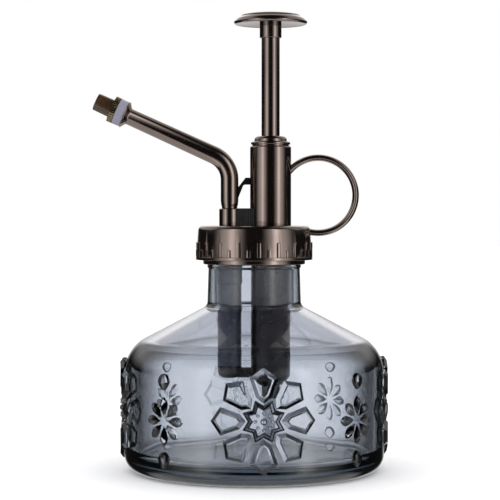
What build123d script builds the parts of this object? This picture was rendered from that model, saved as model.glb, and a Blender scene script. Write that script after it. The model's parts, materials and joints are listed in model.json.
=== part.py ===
from build123d import *
import os
from math import cos, radians, sin, sqrt, tan

# Hand mister: a pressed-glass bottle with a plated pump head that screws on to its neck.
# The origin is the middle of the bottle's base. +Z is up, the spout points to -X and the
# finger ring to +X. Lengths are in millimetres and angles in degrees.

os.makedirs("parts", exist_ok=True)

# Bottle
body_r = 46.7
body_wall = 3.5
base_corner_r = 6.0
inner_corner_r = 3.5
floor_z = 6.0
floor_crown = 1.0
shoulder_slope = 27.6
shoulder_corner_z = 43.7
shoulder_corner_r = 13.0
shoulder_wall = 3.2
neck_r = 16.5
neck_foot_r = 16.9
neck_bore_r = 14.4
neck_fillet_r = 2.5
bead_r = 17.0
bead_z = 73.4
bead_half = 0.9
bead_fillet_r = 0.3
lip_z = 85.3
lip_chamfer = 0.5
lip_fillet_r = 0.3

# Relief pressed into the bottle's wall
relief_r = 48.4
relief_root_r = 45.9
relief_cut = 9.0
panel_gap = 1.0
relief_repeats = 4
relief_turn = 3.8
flake_z = 22.8
petal_count = 8
petal_root_d = 6.3
petal_root_half = 2.2
petal_wide_d = 15.1
petal_wide_half = 4.8
petal_tip_d = 18.0
star_tip_d = 7.7
star_notch_d = 5.4
flower_z = 21.6
flower_root_d = 2.0
flower_root_half = 0.6
flower_wide_d = 5.6
flower_wide_half = 1.75
flower_tip_d = 8.3
bead_drop_r = 2.6
bead_heights = (35.0, 8.3)

# Screw thread between the neck and the cap
thread_pitch = 3.0
thread_turns = 1.5
neck_thread_z = 78.4
cap_thread_z = 76.9
thread_root_w = 1.5
thread_crest_w = 0.8
neck_thread_crest_r = 17.4
cap_bore_r = 17.65
cap_thread_crest_r = 16.65
thread_sink = 0.15

# Cap
cap_top_z = 87.9
cap_top_r = 20.1
cap_side_r = 20.5
cap_corner_r = 1.6
cap_break_r = 0.2
cap_side_z = 80.0
cap_ceiling_z = 86.3
cap_flange_r = 21.05
cap_flange_top_z = 76.8
cap_flange_low_z = 75.7
cap_band_r = 18.4
cap_band_z = 74.1
cap_band_edge_r = 0.5
rib_count = 18
rib_w = 1.1
rib_sink = 0.3
rib_long_z = 82.0
rib_short_z = 79.4
rib_turn = 4.3
gasket_gap = 0.02
gasket_r = 17.2

# Pump, on its own axis beside the bottle's
pump_x = 5.9
cylinder_r = 7.1
cylinder_upper_r = 6.2
cylinder_bore_r = 5.6
cylinder_foot_z = 38.0
cylinder_top_z = 111.5
cylinder_flange_r = 7.9
cylinder_flange_z = 84.6
cylinder_socket_r = 6.3
cylinder_socket_z = 41.0
vent_r = 0.5
vent_z = 83.0
barrel_r = 7.4
barrel_bore_r = 6.22
barrel_top_z = 116.6
barrel_edge_r = 0.7
socket_gap = 0.02

# Gland at the top of the barrel
seal_top_z = 113.3
gland_skirt_r = 6.2
gland_neck_r = 6.6
gland_flange_z = 117.0
gland_flange_r = 7.1
gland_flange_top_z = 118.1
gland_dome_r = 5.7
gland_dome_top_z = 120.1
gland_edge_r = 1.4
gland_break_r = 0.1
gland_flange_low_r = 0.3
gland_flange_edge_r = 0.5

# Plunger
rod_r = 3.28
rod_gap = 0.06
rod_low_z = 105.0
rod_top_z = 162.4
piston_r = 5.5
piston_low_z = 102.5
piston_top_z = 111.3
piston_groove_r = 4.3
piston_groove_z = 105.5
piston_groove_top_z = 108.0
piston_seal_r = 5.56
piston_seal_gap = 0.05
ferrule_r = 3.93
ferrule_low_z = 155.3
ferrule_top_z = 161.2
ferrule_edge_r = 0.2
knob_rim_r = 13.4
knob_rim_z = 160.7
knob_under_z = 160.1
knob_step_r = 10.5
knob_step_z = 163.0
knob_step_h = 0.45
knob_step_run = 0.2
knob_top_z = 164.9
knob_lip_w = 0.6
knob_lip_in = 1.4
knob_lip_rise = 0.2

# Return spring
spring_low_z = 38.45
spring_top_z = 102.45
spring_r = 4.4
spring_wire_r = 0.42
spring_turns = 14

# Foot of the pump and its two ball valves
foot_low_z = 31.2
foot_corner_r = 3.5
foot_socket_gap = 0.1
stem_r = 3.6
stem_low_z = 26.5
stem_sink = 0.5
tube_stop_z = 31.0
seat_bore_r = 1.5
inlet_seat_z = 32.6
chamber_r = 2.9
cage_low_z = 37.6
cage_top_z = 38.4
cage_r = 5.4
inlet_ball_r = 2.3
ball_gap = 0.02
channel_z = 35.4
channel_bore_r = 1.2
channel_half_w = 3.0
channel_low_z = 33.3
channel_top_z = 37.5
dip_tube_r = 2.5
dip_tube_bore_r = 1.8
dip_tube_low_z = 9.5
dip_tube_slant = 30.0

# Discharge column, beside the cylinder
column_x = -8.85
column_r = 4.3
column_bore_r = 3.3
column_wide_r = 4.6
column_wide_z = 67.0
column_flange_r = 4.9
column_spigot_r = 2.9
column_spigot_bore_r = 1.9
column_spigot_top_z = 91.0
cup_low_z = 32.9
cup_corner_r = 2.6
cup_bore_r = 2.0
cup_floor_z = 34.2
discharge_seat_top_z = 40.0
discharge_ball_r = 2.2
retainer_low_z = 45.1
retainer_top_z = 46.0
drain_holes = 4
drain_hole_r = 0.6
drain_hole_d = 2.0

# Spout
boss_r = 3.75
boss_top_z = 94.1
boss_edge_r = 0.3
spout_r = 3.2
spout_end_r = 2.95
spout_low_r = 2.8
spout_bore_r = 1.7
spout_taper_z = 94.8
spout_full_z = 97.0
spout_corner_z = 110.8
spout_bend_r = 9.7
spout_rise = 24.4
flare_start_u = 39.5
flare_edge_u = 41.0
flare_end_u = 41.4
flare_r = 4.92
stub_r = 2.4
stub_bore_r = 1.55
stub_end_u = 49.6
stub_groove_r = 2.02
stub_groove_u = 46.8
stub_groove_end_u = 49.2

# Nozzle, in distances along the spout's arm
nozzle_collar_r = 4.78
nozzle_collar_end_u = 44.5
nozzle_start_u = 44.53
nozzle_ring_r = 4.82
nozzle_ring_end_u = 46.5
nozzle_knurls = 33
knurl_depth = 0.35
knurl_gap_w = 0.44
nozzle_r = 3.3
nozzle_tip_r = 3.15
nozzle_bore_r = 2.46
nozzle_bore_end_u = 50.9
nozzle_end_u = 52.7
nozzle_mouth_r = 1.6
nozzle_mouth_depth = 0.7
orifice_r = 0.3
o_ring_start_u = 47.0
o_ring_end_u = 48.0
core_start_u = 46.0
core_head_r = 2.2
core_end_u = 50.3
core_slots = 3
core_slot_w = 0.5
core_slot_run = 1.2
core_head_slot_run = 2.4
core_head_slot_d = 1.7

# Brace, link and finger ring on the head
brace_top_z = 105.2
brace_low_z = 102.7
brace_foot_z = 97.8
brace_half_w = 1.5
brace_sink = 0.4
brace_shelf = 1.6
brace_drop = 3.4
brace_bend_run = 2.4
brace_bend_drop = 0.2
brace_under_run = 1.8
link_top_z = 94.2
link_boss_half = 2.2
link_barrel_half = 4.6
link_sink = 2.0
link_ribs = 6
link_rib_r = 0.3
ring_x = 23.0
ring_z = 98.9
ring_mid_r = 13.5
ring_radial_half = 1.2
ring_depth_half = 2.2
ring_start = -108.0
ring_sweep = 254.0

# Places worked out from the sizes above
pump_axis = Axis((pump_x, 0, 0), (0, 0, 1))
shoulder_drop = tan(radians(shoulder_slope))
wall_drop = shoulder_wall / cos(radians(shoulder_slope))
body_bore_r = body_r - body_wall
arm_way = (-cos(radians(spout_rise)), 0, sin(radians(spout_rise)))
arm = Plane(origin=(column_x, 0, spout_corner_z), x_dir=(0, 1, 0), z_dir=arm_way)
bend_turn = 90.0 - spout_rise
bend_leg = spout_bend_r * tan(radians(bend_turn / 2))


def shoulder_z(r):
    """Height of the shoulder's outer cone at this radius."""
    return shoulder_corner_z + (body_r - r) * shoulder_drop


def ball_z(seat_z, ball_r):
    """Height of a ball's middle when it rests on its seat's edge."""
    return seat_z + sqrt(ball_r**2 - seat_bore_r**2) + ball_gap


def panel(turn):
    """A plane that faces out of the bottle at this turn from the front, above the relief."""
    out = (sin(radians(turn)), -cos(radians(turn)), 0)
    side = (cos(radians(turn)), sin(radians(turn)), 0)
    away = relief_r + panel_gap
    return Plane(origin=(out[0] * away, out[1] * away, 0), x_dir=side, z_dir=out)


def petal(x, z, turn, root_d, root_half, wide_d, wide_half, tip_d):
    """One petal of a flake: it widens outwards and ends in a point."""
    with Locations(Location((x, z), turn)):
        Polygon(
            (root_d, -root_half),
            (wide_d, -wide_half),
            (tip_d, 0),
            (wide_d, wide_half),
            (root_d, root_half),
            align=None,
        )


def tooth(root_r, crest_r, start_z):
    """A screw thread's tooth, swept along its helix."""
    with BuildLine():
        path = Helix(thread_pitch, thread_pitch * thread_turns, root_r, center=(0, 0, start_z))
    with BuildSketch(Plane(origin=path @ 0, x_dir=(1, 0, 0), z_dir=path % 0)) as section:
        Polygon(
            (0, -thread_root_w / 2),
            (crest_r - root_r, -thread_crest_w / 2),
            (crest_r - root_r, thread_crest_w / 2),
            (0, thread_root_w / 2),
            align=None,
        )
    sweep(section.sketch, path, is_frenet=True)


# The relief, cut to the curve of the bottle's wall: large flakes with columns of a small
# flower between two beads.
with BuildPart() as relief:
    for k in range(relief_repeats):
        flake_turn = relief_turn + k * 360 / relief_repeats
        with BuildSketch(panel(flake_turn)):
            for j in range(petal_count):
                petal(
                    0,
                    flake_z,
                    j * 360 / petal_count,
                    petal_root_d,
                    petal_root_half,
                    petal_wide_d,
                    petal_wide_half,
                    petal_tip_d,
                )
        extrude(amount=-relief_cut)
        with BuildSketch(panel(flake_turn)):
            with BuildLine():
                star = []
                for j in range(2 * petal_count):
                    reach = star_notch_d if j % 2 == 0 else star_tip_d
                    point_turn = radians(j * 180 / petal_count)
                    star.append((reach * cos(point_turn), flake_z + reach * sin(point_turn)))
                Polyline(*star, close=True)
            make_face()
        extrude(amount=-relief_cut)
        with BuildSketch(panel(flake_turn + 180 / relief_repeats)):
            for j in range(petal_count):
                petal(
                    0,
                    flower_z,
                    j * 360 / petal_count,
                    flower_root_d,
                    flower_root_half,
                    flower_wide_d,
                    flower_wide_half,
                    flower_tip_d,
                )
            with Locations(*[(0, z) for z in bead_heights]):
                Circle(bead_drop_r)
        extrude(amount=-relief_cut)
    with BuildSketch(Plane.XY):
        Circle(relief_r)
        Circle(relief_root_r, mode=Mode.SUBTRACT)
    extrude(amount=shoulder_corner_z, mode=Mode.INTERSECT)

with BuildPart() as bottle:
    with BuildSketch(Plane.XZ):
        with BuildLine():
            outside = FilletPolyline(
                (0, 0),
                (body_r, 0),
                (body_r, shoulder_corner_z),
                (neck_foot_r, shoulder_z(neck_foot_r)),
                (neck_r, bead_z - bead_half),
                (bead_r, bead_z),
                (neck_r, bead_z + bead_half),
                (neck_r, lip_z - lip_chamfer),
                (neck_r - lip_chamfer, lip_z),
                radius=(
                    base_corner_r,
                    shoulder_corner_r,
                    neck_fillet_r,
                    bead_fillet_r,
                    bead_fillet_r,
                    bead_fillet_r,
                    lip_fillet_r,
                ),
            )
            inside = FilletPolyline(
                (neck_bore_r, lip_z),
                (neck_bore_r, shoulder_z(neck_bore_r) - wall_drop),
                (body_bore_r, shoulder_z(body_bore_r) - wall_drop),
                (body_bore_r, floor_z),
                (0, floor_z + floor_crown),
                radius=(neck_fillet_r, shoulder_corner_r - body_wall, inner_corner_r),
            )
            Line(outside @ 1, inside @ 0)
            Line(inside @ 1, outside @ 0)
        make_face()
    revolve(axis=Axis.Z)
    tooth(neck_r - thread_sink, neck_thread_crest_r, neck_thread_z)
    add(relief.part)
bottle.part.label = "bottle"
export_step(bottle.part, "parts/bottle.step")

with BuildPart() as cap_gasket:
    with BuildSketch(Plane.XY.offset(lip_z + gasket_gap)):
        Circle(gasket_r)
        Circle(neck_bore_r, mode=Mode.SUBTRACT)
    extrude(amount=cap_ceiling_z - lip_z - 2 * gasket_gap)
cap_gasket.part.label = "cap_gasket"
export_step(cap_gasket.part, "parts/cap_gasket.step")

# The cap's outer shape, solid, which also trims the finger ring's lower end.
with BuildPart() as cap_block:
    with BuildSketch(Plane.XZ):
        with BuildLine():
            cap_side = FilletPolyline(
                (0, cap_top_z),
                (cap_top_r, cap_top_z),
                (cap_side_r, cap_side_z),
                (cap_side_r, cap_flange_top_z),
                (cap_flange_r, cap_flange_top_z),
                (cap_flange_r, cap_flange_low_z),
                (cap_band_r, cap_flange_low_z),
                (cap_band_r, cap_band_z),
                (0, cap_band_z),
                radius=(
                    cap_corner_r,
                    cap_break_r,
                    cap_break_r,
                    cap_break_r,
                    cap_break_r,
                    cap_break_r,
                    cap_band_edge_r,
                ),
            )
            Line(cap_side @ 1, cap_side @ 0)
        make_face()
    revolve(axis=Axis.Z)

with BuildPart() as cap_shell:
    add(cap_block.part)
    for first_turn, top_z in ((rib_turn, rib_long_z), (rib_turn + 180 / rib_count, rib_short_z)):
        with BuildSketch(Plane.XY.offset(cap_flange_top_z - rib_sink)):
            with PolarLocations(cap_side_r - rib_sink, rib_count, start_angle=first_turn - 90):
                Rectangle(2 * (cap_flange_r - cap_side_r + rib_sink), rib_w)
        extrude(amount=top_z - cap_flange_top_z + rib_sink)
    with BuildSketch(Plane.XY.offset(cap_band_z)):
        Circle(cap_bore_r)
    extrude(amount=cap_ceiling_z - cap_band_z, mode=Mode.SUBTRACT)
    with BuildSketch(Plane.XY.offset(cap_ceiling_z)):
        with Locations((pump_x, 0)):
            Circle(cylinder_upper_r + socket_gap)
        with Locations((column_x, 0)):
            Circle(column_spigot_r + socket_gap)
    extrude(amount=cap_top_z - cap_ceiling_z, mode=Mode.SUBTRACT)
    tooth(cap_bore_r + thread_sink, cap_thread_crest_r, cap_thread_z)
cap_shell.part.label = "cap_shell"
export_step(cap_shell.part, "parts/cap_shell.step")

with BuildPart() as pump_cylinder:
    for r, low, high in (
        (cylinder_r, cylinder_foot_z, cap_ceiling_z),
        (cylinder_flange_r, cylinder_flange_z, cap_ceiling_z),
        (cylinder_upper_r, cap_ceiling_z, cylinder_top_z),
    ):
        with BuildSketch(Plane.XY.offset(low)):
            with Locations((pump_x, 0)):
                Circle(r)
        extrude(amount=high - low)
    for r, low, high in (
        (cylinder_bore_r, cylinder_foot_z, cylinder_top_z),
        (cylinder_socket_r, cylinder_foot_z, cylinder_socket_z),
    ):
        with BuildSketch(Plane.XY.offset(low)):
            with Locations((pump_x, 0)):
                Circle(r)
        extrude(amount=high - low, mode=Mode.SUBTRACT)
    with BuildSketch(Plane.XZ):
        with Locations((pump_x, vent_z)):
            Circle(vent_r)
    extrude(amount=cylinder_flange_r, mode=Mode.SUBTRACT)
pump_cylinder.part.label = "pump_cylinder"
export_step(pump_cylinder.part, "parts/pump_cylinder.step")

with BuildPart() as pump_barrel:
    with BuildSketch(Plane.XY.offset(cap_top_z)):
        with Locations((pump_x, 0)):
            Circle(barrel_r)
    extrude(amount=barrel_top_z - cap_top_z)
    fillet(pump_barrel.edges().sort_by(Axis.Z)[-1], barrel_edge_r)
    with BuildSketch(Plane.XY.offset(cap_top_z)):
        with Locations((pump_x, 0)):
            Circle(barrel_bore_r)
    extrude(amount=barrel_top_z - cap_top_z, mode=Mode.SUBTRACT)
pump_barrel.part.label = "pump_barrel"
export_step(pump_barrel.part, "parts/pump_barrel.step")

with BuildPart() as rod_seal:
    with BuildSketch(Plane.XY.offset(cylinder_top_z)):
        with Locations((pump_x, 0)):
            Circle(cylinder_upper_r)
            Circle(rod_r + rod_gap, mode=Mode.SUBTRACT)
    extrude(amount=seal_top_z - cylinder_top_z)
rod_seal.part.label = "rod_seal"
export_step(rod_seal.part, "parts/rod_seal.step")

with BuildPart() as gland_nut:
    with BuildSketch(Plane.XZ):
        with BuildLine():
            gland_side = FilletPolyline(
                (pump_x + rod_r + rod_gap, seal_top_z),
                (pump_x + gland_skirt_r, seal_top_z),
                (pump_x + gland_skirt_r, barrel_top_z),
                (pump_x + gland_neck_r, barrel_top_z),
                (pump_x + gland_neck_r, gland_flange_z),
                (pump_x + gland_flange_r, gland_flange_z),
                (pump_x + gland_flange_r, gland_flange_top_z),
                (pump_x + gland_dome_r, gland_flange_top_z),
                (pump_x + gland_dome_r, gland_dome_top_z),
                (pump_x + rod_r + rod_gap, gland_dome_top_z),
                radius=(
                    gland_break_r,
                    gland_break_r,
                    gland_break_r,
                    gland_break_r,
                    gland_flange_low_r,
                    gland_flange_edge_r,
                    gland_break_r,
                    gland_edge_r,
                ),
            )
            Line(gland_side @ 1, gland_side @ 0)
        make_face()
    revolve(axis=pump_axis)
gland_nut.part.label = "gland_nut"
export_step(gland_nut.part, "parts/gland_nut.step")

with BuildPart() as plunger_rod:
    with BuildSketch(Plane.XY.offset(rod_low_z)):
        with Locations((pump_x, 0)):
            Circle(rod_r)
    extrude(amount=rod_top_z - rod_low_z)
plunger_rod.part.label = "plunger_rod"
export_step(plunger_rod.part, "parts/plunger_rod.step")

with BuildPart() as knob_ferrule:
    with BuildSketch(Plane.XY.offset(ferrule_low_z)):
        with Locations((pump_x, 0)):
            Circle(ferrule_r)
    extrude(amount=ferrule_top_z - ferrule_low_z)
    fillet(knob_ferrule.edges().sort_by(Axis.Z)[0], ferrule_edge_r)
    with BuildSketch(Plane.XY.offset(ferrule_low_z)):
        with Locations((pump_x, 0)):
            Circle(rod_r + socket_gap)
    extrude(amount=ferrule_top_z - ferrule_low_z, mode=Mode.SUBTRACT)
knob_ferrule.part.label = "knob_ferrule"
export_step(knob_ferrule.part, "parts/knob_ferrule.step")

with BuildPart() as knob:
    with BuildSketch(Plane.XZ):
        with BuildLine():
            top_mid = (pump_x, knob_top_z)
            crown_edge = (pump_x + knob_step_r, knob_step_z + knob_step_h)
            step_low = (pump_x + knob_step_r + knob_step_run, knob_step_z)
            rim_out = (pump_x + knob_rim_r, knob_rim_z)
            rim_low = (pump_x + knob_rim_r - knob_lip_w, knob_under_z)
            under_out = (pump_x + knob_rim_r - knob_lip_in, knob_under_z + knob_lip_rise)
            under_in = (pump_x + ferrule_r, ferrule_top_z)
            crown = TangentArc(top_mid, crown_edge, tangent=(1, 0))
            Line(crown_edge, step_low)
            TangentArc(rim_out, step_low, tangent=(0, 1))
            Polyline(rim_out, rim_low, under_out, under_in, (pump_x, ferrule_top_z))
            Line((pump_x, ferrule_top_z), top_mid)
        make_face()
    revolve(axis=pump_axis)
    with BuildSketch(Plane.XY.offset(ferrule_top_z)):
        with Locations((pump_x, 0)):
            Circle(rod_r + socket_gap)
    extrude(amount=rod_top_z - ferrule_top_z, mode=Mode.SUBTRACT)
knob.part.label = "knob"
export_step(knob.part, "parts/knob.step")

with BuildPart() as piston:
    with BuildSketch(Plane.XY.offset(piston_low_z)):
        with Locations((pump_x, 0)):
            Circle(piston_r)
    extrude(amount=piston_top_z - piston_low_z)
    with BuildSketch(Plane.XY.offset(piston_groove_z)):
        with Locations((pump_x, 0)):
            Circle(piston_r)
            Circle(piston_groove_r, mode=Mode.SUBTRACT)
    extrude(amount=piston_groove_top_z - piston_groove_z, mode=Mode.SUBTRACT)
    with BuildSketch(Plane.XY.offset(rod_low_z)):
        with Locations((pump_x, 0)):
            Circle(rod_r + socket_gap)
    extrude(amount=piston_top_z - rod_low_z, mode=Mode.SUBTRACT)
piston.part.label = "piston"
export_step(piston.part, "parts/piston.step")

with BuildPart() as piston_seal:
    with BuildSketch(Plane.XY.offset(piston_groove_z + piston_seal_gap)):
        with Locations((pump_x, 0)):
            Circle(piston_seal_r)
            Circle(piston_groove_r + socket_gap, mode=Mode.SUBTRACT)
    extrude(amount=piston_groove_top_z - piston_groove_z - 2 * piston_seal_gap)
piston_seal.part.label = "piston_seal"
export_step(piston_seal.part, "parts/piston_seal.step")

with BuildPart() as return_spring:
    coil_height = spring_top_z - spring_low_z - 2 * spring_wire_r
    with BuildLine():
        coil = Helix(
            coil_height / spring_turns,
            coil_height,
            spring_r,
            center=(pump_x, 0, spring_low_z + spring_wire_r),
        )
    with BuildSketch(Plane(origin=coil @ 0, x_dir=(1, 0, 0), z_dir=coil % 0)):
        Circle(spring_wire_r)
    sweep(is_frenet=True)
return_spring.part.label = "return_spring"
export_step(return_spring.part, "parts/return_spring.step")

# The foot closes the cylinder, holds the inlet valve and carries water across to the column.
with BuildPart() as cylinder_foot:
    with BuildSketch(Plane.XY.offset(foot_low_z)):
        with Locations((pump_x, 0)):
            Circle(cylinder_r)
    extrude(amount=cylinder_foot_z - foot_low_z)
    fillet(cylinder_foot.edges().sort_by(Axis.Z)[0], foot_corner_r)
    with BuildSketch(Plane.XY.offset(cylinder_foot_z)):
        with Locations((pump_x, 0)):
            Circle(cylinder_socket_r - socket_gap)
    extrude(amount=cylinder_socket_z - cylinder_foot_z - foot_socket_gap)
    with BuildSketch(Plane.XY.offset(stem_low_z)):
        with Locations((pump_x, 0)):
            Circle(stem_r)
    extrude(amount=foot_low_z - stem_low_z + stem_sink)
    with BuildSketch(Plane.XY.offset(channel_low_z)):
        with Locations(((pump_x + column_x) / 2, 0)):
            Rectangle(pump_x - column_x, 2 * channel_half_w)
    extrude(amount=channel_top_z - channel_low_z)
    with BuildSketch(Plane.XZ):
        with BuildLine():
            cup_side = FilletPolyline(
                (column_x, cup_low_z),
                (column_x + column_r, cup_low_z),
                (column_x + column_r, cylinder_foot_z),
                radius=cup_corner_r,
            )
            Polyline(cup_side @ 1, (column_x, cylinder_foot_z), cup_side @ 0)
        make_face()
    revolve(axis=Axis((column_x, 0, 0), (0, 0, 1)))
    for r, low, high in (
        (cylinder_bore_r, cage_top_z, cylinder_socket_z),
        (cage_r, cage_low_z, cage_top_z),
        (chamber_r, inlet_seat_z, cage_low_z),
        (seat_bore_r, tube_stop_z, inlet_seat_z),
        (dip_tube_r + socket_gap, stem_low_z, tube_stop_z),
    ):
        with BuildSketch(Plane.XY.offset(low)):
            with Locations((pump_x, 0)):
                Circle(r)
        extrude(amount=high - low, mode=Mode.SUBTRACT)
    with BuildSketch(Plane.XY.offset(cup_floor_z)):
        with Locations((column_x, 0)):
            Circle(cup_bore_r)
    extrude(amount=cylinder_foot_z - cup_floor_z, mode=Mode.SUBTRACT)
    with BuildSketch(Plane.YZ.offset(column_x)):
        with Locations((0, channel_z)):
            Circle(channel_bore_r)
    extrude(amount=pump_x - column_x, mode=Mode.SUBTRACT)
cylinder_foot.part.label = "cylinder_foot"
export_step(cylinder_foot.part, "parts/cylinder_foot.step")

with BuildPart() as inlet_cage:
    with BuildSketch(Plane.XY.offset(cage_low_z)):
        with Locations((pump_x, 0)):
            Circle(cage_r - socket_gap)
            with PolarLocations(drain_hole_d, drain_holes):
                Circle(drain_hole_r, mode=Mode.SUBTRACT)
    extrude(amount=cage_top_z - cage_low_z)
inlet_cage.part.label = "inlet_cage"
export_step(inlet_cage.part, "parts/inlet_cage.step")

with BuildPart() as inlet_ball:
    with Locations((pump_x, 0, ball_z(inlet_seat_z, inlet_ball_r))):
        Sphere(inlet_ball_r)
inlet_ball.part.label = "inlet_ball"
export_step(inlet_ball.part, "parts/inlet_ball.step")

with BuildPart() as dip_tube:
    with BuildSketch(Plane.XY.offset(dip_tube_low_z)):
        with Locations((pump_x, 0)):
            Circle(dip_tube_r)
            Circle(dip_tube_bore_r, mode=Mode.SUBTRACT)
    extrude(amount=tube_stop_z - dip_tube_low_z)
    slant_way = (sin(radians(dip_tube_slant)), 0, cos(radians(dip_tube_slant)))
    slant_z = dip_tube_low_z + dip_tube_r * tan(radians(dip_tube_slant))
    split(bisect_by=Plane(origin=(pump_x, 0, slant_z), z_dir=slant_way), keep=Keep.TOP)
dip_tube.part.label = "dip_tube"
export_step(dip_tube.part, "parts/dip_tube.step")

with BuildPart() as discharge_column:
    for r, low, high in (
        (column_r, cylinder_foot_z, column_wide_z),
        (column_wide_r, column_wide_z, cap_ceiling_z),
        (column_flange_r, cylinder_flange_z, cap_ceiling_z),
        (column_spigot_r, cap_ceiling_z, column_spigot_top_z),
    ):
        with BuildSketch(Plane.XY.offset(low)):
            with Locations((column_x, 0)):
                Circle(r)
        extrude(amount=high - low)
    for r, low, high in (
        (column_bore_r, cylinder_foot_z, cylinder_flange_z),
        (column_spigot_bore_r, cylinder_flange_z, column_spigot_top_z),
    ):
        with BuildSketch(Plane.XY.offset(low)):
            with Locations((column_x, 0)):
                Circle(r)
        extrude(amount=high - low, mode=Mode.SUBTRACT)
discharge_column.part.label = "discharge_column"
export_step(discharge_column.part, "parts/discharge_column.step")

with BuildPart() as discharge_seat:
    with BuildSketch(Plane.XY.offset(cylinder_foot_z)):
        with Locations((column_x, 0)):
            Circle(column_bore_r - socket_gap)
            Circle(seat_bore_r, mode=Mode.SUBTRACT)
    extrude(amount=discharge_seat_top_z - cylinder_foot_z)
discharge_seat.part.label = "discharge_seat"
export_step(discharge_seat.part, "parts/discharge_seat.step")

with BuildPart() as discharge_ball:
    with Locations((column_x, 0, ball_z(discharge_seat_top_z, discharge_ball_r))):
        Sphere(discharge_ball_r)
discharge_ball.part.label = "discharge_ball"
export_step(discharge_ball.part, "parts/discharge_ball.step")

with BuildPart() as discharge_retainer:
    with BuildSketch(Plane.XY.offset(retainer_low_z)):
        with Locations((column_x, 0)):
            Circle(column_bore_r - socket_gap)
            with PolarLocations(drain_hole_d, drain_holes):
                Circle(drain_hole_r, mode=Mode.SUBTRACT)
    extrude(amount=retainer_top_z - retainer_low_z)
discharge_retainer.part.label = "discharge_retainer"
export_step(discharge_retainer.part, "parts/discharge_retainer.step")

with BuildPart() as spout_socket:
    with BuildSketch(Plane.XY.offset(cap_top_z)):
        with Locations((column_x, 0)):
            Circle(boss_r)
    extrude(amount=boss_top_z - cap_top_z)
    fillet(spout_socket.edges().sort_by(Axis.Z)[-1], boss_edge_r)
    for r, low, high in (
        (column_spigot_r + socket_gap, cap_top_z, column_spigot_top_z),
        (spout_low_r + socket_gap, column_spigot_top_z, boss_top_z),
    ):
        with BuildSketch(Plane.XY.offset(low)):
            with Locations((column_x, 0)):
                Circle(r)
        extrude(amount=high - low, mode=Mode.SUBTRACT)
spout_socket.part.label = "spout_socket"
export_step(spout_socket.part, "parts/spout_socket.step")

# The spout: an upright leg, one bend and a rising arm that flares at its end into a stub.
with BuildPart() as spout_tube:
    with BuildSketch(Plane.XY.offset(column_spigot_top_z)):
        with Locations((column_x, 0)):
            Circle(spout_low_r)
    extrude(amount=spout_taper_z - column_spigot_top_z)
    for z, r in ((spout_taper_z, spout_low_r), (spout_full_z, spout_r)):
        with BuildSketch(Plane.XY.offset(z)):
            with Locations((column_x, 0)):
                Circle(r)
    loft()
    with BuildSketch(Plane.XY.offset(spout_full_z)):
        with Locations((column_x, 0)):
            Circle(spout_r)
    extrude(amount=spout_corner_z - bend_leg - spout_full_z)
    with BuildSketch(Plane.XY.offset(spout_corner_z - bend_leg)):
        with Locations((column_x, 0)):
            Circle(spout_r)
    bend_axis = Axis((column_x - spout_bend_r, 0, spout_corner_z - bend_leg), (0, -1, 0))
    revolve(axis=bend_axis, revolution_arc=bend_turn)
    for u, r, end_u, end_r in (
        (bend_leg, spout_r, flare_start_u, spout_end_r),
        (flare_start_u, spout_end_r, flare_edge_u, flare_r),
    ):
        with BuildSketch(arm.offset(u)):
            Circle(r)
        with BuildSketch(arm.offset(end_u)):
            Circle(end_r)
        loft()
    for u, r, end_u in ((flare_edge_u, flare_r, flare_end_u), (flare_end_u, stub_r, stub_end_u)):
        with BuildSketch(arm.offset(u)):
            Circle(r)
        extrude(amount=end_u - u)
    with BuildSketch(arm.offset(stub_groove_u)):
        Circle(stub_r)
        Circle(stub_groove_r, mode=Mode.SUBTRACT)
    extrude(amount=stub_groove_end_u - stub_groove_u, mode=Mode.SUBTRACT)
    with BuildSketch(Plane.XY.offset(column_spigot_top_z)):
        with Locations((column_x, 0)):
            Circle(spout_bore_r)
    extrude(amount=spout_corner_z - bend_leg - column_spigot_top_z, mode=Mode.SUBTRACT)
    with BuildSketch(Plane.XY.offset(spout_corner_z - bend_leg)):
        with Locations((column_x, 0)):
            Circle(spout_bore_r)
    revolve(axis=bend_axis, revolution_arc=bend_turn, mode=Mode.SUBTRACT)
    for u, r, end_u in ((bend_leg, spout_bore_r, flare_end_u), (flare_end_u, stub_bore_r, stub_end_u)):
        with BuildSketch(arm.offset(u)):
            Circle(r)
        extrude(amount=end_u - u, mode=Mode.SUBTRACT)
spout_tube.part.label = "spout_tube"
export_step(spout_tube.part, "parts/spout_tube.step")

with BuildPart() as nozzle_collar:
    with BuildSketch(arm.offset(flare_end_u)):
        Circle(nozzle_collar_r)
        Circle(stub_r + socket_gap, mode=Mode.SUBTRACT)
    extrude(amount=nozzle_collar_end_u - flare_end_u)
nozzle_collar.part.label = "nozzle_collar"
export_step(nozzle_collar.part, "parts/nozzle_collar.step")

with BuildPart() as swirl_core:
    with BuildSketch(arm.offset(core_start_u)):
        Circle(stub_bore_r - socket_gap)
        with PolarLocations(stub_bore_r, core_slots):
            Rectangle(core_slot_run, core_slot_w, mode=Mode.SUBTRACT)
    extrude(amount=stub_end_u - core_start_u)
    with BuildSketch(arm.offset(stub_end_u)):
        Circle(core_head_r)
        with PolarLocations(core_head_slot_d, core_slots):
            Rectangle(core_head_slot_run, core_slot_w, mode=Mode.SUBTRACT)
    extrude(amount=core_end_u - stub_end_u)
swirl_core.part.label = "swirl_core"
export_step(swirl_core.part, "parts/swirl_core.step")

with BuildPart() as nozzle_o_ring:
    with BuildSketch(arm.offset(o_ring_start_u)):
        Circle(nozzle_bore_r - socket_gap)
        Circle(stub_groove_r + socket_gap, mode=Mode.SUBTRACT)
    extrude(amount=o_ring_end_u - o_ring_start_u)
nozzle_o_ring.part.label = "nozzle_o_ring"
export_step(nozzle_o_ring.part, "parts/nozzle_o_ring.step")

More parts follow.
